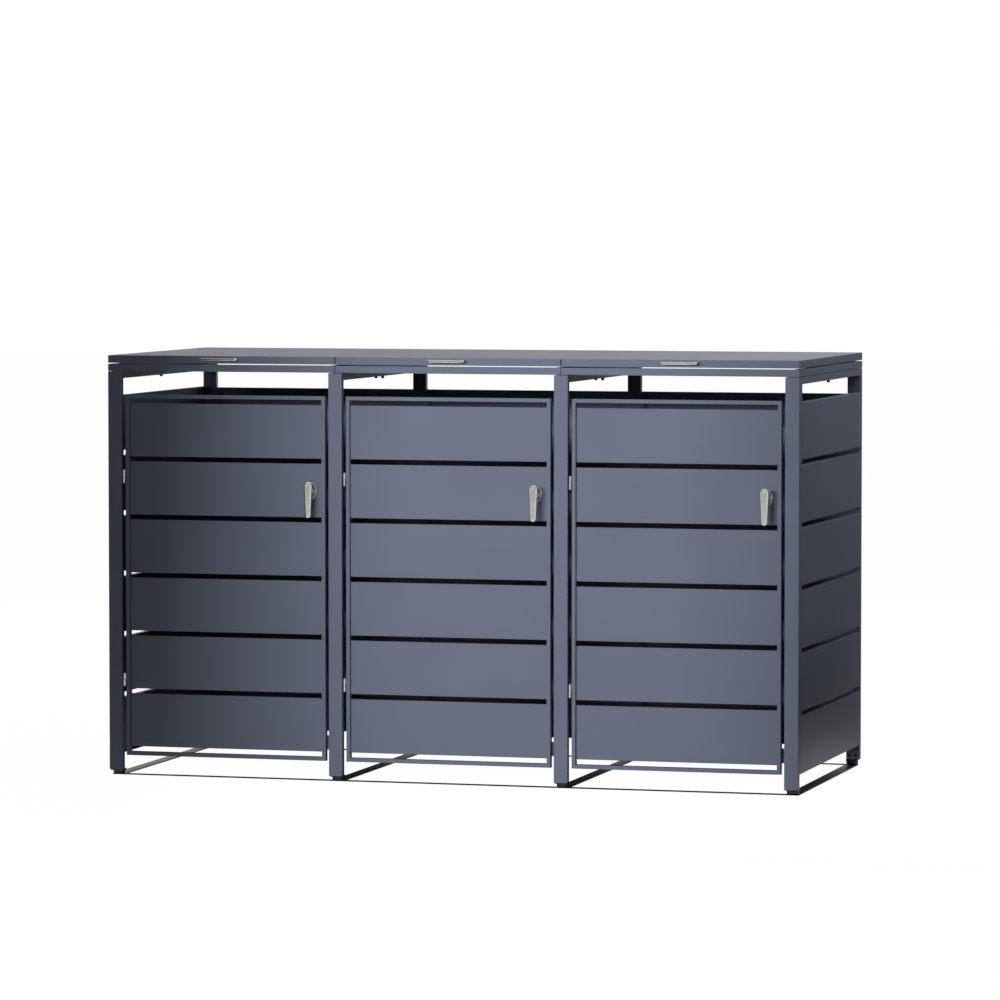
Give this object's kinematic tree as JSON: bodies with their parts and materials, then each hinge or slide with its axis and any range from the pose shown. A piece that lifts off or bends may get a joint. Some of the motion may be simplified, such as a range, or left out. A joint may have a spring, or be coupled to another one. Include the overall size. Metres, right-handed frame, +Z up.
{
  "type": "wheelie bin store",
  "caption": "Metal outdoor store for wheelie bins: a tube frame with slatted sides and doors, a closed back, lever latches, and flat lids that fold back.",
  "frame": {"origin": "on the ground, midway along the store and midway between the front of the levers and the back of the posts", "axes": "+X along the front to the right, +Y to the back, +Z up"},
  "size_m": [2.02, 0.891, 1.205],
  "materials": {
    "anthracite_coat": "semi-gloss anthracite powder coat",
    "black_coat": "satin black powder coat",
    "satin_nickel": "satin nickel plate",
    "hinge_steel": "bright zinc plate",
    "zinc_plate": "zinc plate",
    "black_zinc": "black zinc plate",
    "black_plastic": "moulded, fine grain",
    "black_rubber": "moulded"
  },
  "bodies": {
    "frame": {"post_front_1": "anthracite_coat", "post_front_2": "anthracite_coat", "post_front_3": "anthracite_coat", "post_front_4": "anthracite_coat", "post_back_1": "anthracite_coat", "post_back_2": "anthracite_coat", "post_back_3": "anthracite_coat", "post_back_4": "anthracite_coat", "side_rails": "anthracite_coat", "side_uprights": "anthracite_coat", "ground_bars_long": "black_coat", "ground_bars_cross": "black_coat", "feet": "black_plastic", "foot_brackets": "black_coat", "foot_screws": "black_zinc", "side_slats_left": "anthracite_coat", "side_slats_right": "anthracite_coat", "back_panel_1": "anthracite_coat", "back_panel_2": "anthracite_coat", "back_panel_3": "anthracite_coat", "panel_screws": "zinc_plate", "lid_frame_1": "anthracite_coat", "lid_frame_2": "anthracite_coat", "lid_frame_3": "anthracite_coat", "frame_bolts": "black_zinc", "frame_spacers": "black_plastic", "lid_buffers": "black_rubber", "lid_hinge_bases": "hinge_steel", "door_hinge_bases": "hinge_steel", "door_stops": "anthracite_coat"},
    "lid_1": {"lid_panel_1": "anthracite_coat", "lid_handle_1": "satin_nickel", "lid_hinge_leaves_1": "hinge_steel"},
    "door_1": {"door_frame_1": "anthracite_coat", "door_slats_1": "anthracite_coat", "door_hinge_leaves_1": "hinge_steel", "latch_rose_1": "satin_nickel", "latch_nut_1": "zinc_plate"},
    "latch_1": {"latch_lever_1": "satin_nickel", "latch_cam_1": "zinc_plate"},
    "lid_2": {"lid_panel_2": "anthracite_coat", "lid_handle_2": "satin_nickel", "lid_hinge_leaves_2": "hinge_steel"},
    "door_2": {"door_frame_2": "anthracite_coat", "door_slats_2": "anthracite_coat", "door_hinge_leaves_2": "hinge_steel", "latch_rose_2": "satin_nickel", "latch_nut_2": "zinc_plate"},
    "latch_2": {"latch_lever_2": "satin_nickel", "latch_cam_2": "zinc_plate"},
    "lid_3": {"lid_panel_3": "anthracite_coat", "lid_handle_3": "satin_nickel", "lid_hinge_leaves_3": "hinge_steel"},
    "door_3": {"door_frame_3": "anthracite_coat", "door_slats_3": "anthracite_coat", "door_hinge_leaves_3": "hinge_steel", "latch_rose_3": "satin_nickel", "latch_nut_3": "zinc_plate"},
    "latch_3": {"latch_lever_3": "satin_nickel", "latch_cam_3": "zinc_plate"}
  },
  "joints": [
    {"name": "lid_1_hinge", "type": "hinge", "parent": "frame", "child": "lid_1", "pos_m": [-0.66, 0.4432, 1.1827], "axis": [-1, 0, 0], "range_deg": [0, 97]},
    {"name": "door_1_hinge", "type": "hinge", "parent": "frame", "child": "door_1", "pos_m": [-0.96425, -0.4065, 0.567], "axis": [0, 0, -1], "range_deg": [0, 110]},
    {"name": "latch_1_turn", "type": "hinge", "parent": "door_1", "child": "latch_1", "pos_m": [-0.4015, -0.402, 0.8255], "axis": [0, 1, 0], "range_deg": [0, 90]},
    {"name": "lid_2_hinge", "type": "hinge", "parent": "frame", "child": "lid_2", "pos_m": [0, 0.4432, 1.1827], "axis": [-1, 0, 0], "range_deg": [0, 97]},
    {"name": "door_2_hinge", "type": "hinge", "parent": "frame", "child": "door_2", "pos_m": [-0.30425, -0.4065, 0.567], "axis": [0, 0, -1], "range_deg": [0, 110]},
    {"name": "latch_2_turn", "type": "hinge", "parent": "door_2", "child": "latch_2", "pos_m": [0.2585, -0.402, 0.8255], "axis": [0, 1, 0], "range_deg": [0, 90]},
    {"name": "lid_3_hinge", "type": "hinge", "parent": "frame", "child": "lid_3", "pos_m": [0.66, 0.4432, 1.1827], "axis": [-1, 0, 0], "range_deg": [0, 97]},
    {"name": "door_3_hinge", "type": "hinge", "parent": "frame", "child": "door_3", "pos_m": [0.35575, -0.4065, 0.567], "axis": [0, 0, -1], "range_deg": [0, 110]},
    {"name": "latch_3_turn", "type": "hinge", "parent": "door_3", "child": "latch_3", "pos_m": [0.9185, -0.402, 0.8255], "axis": [0, 1, 0], "range_deg": [0, 90]}
  ]
}
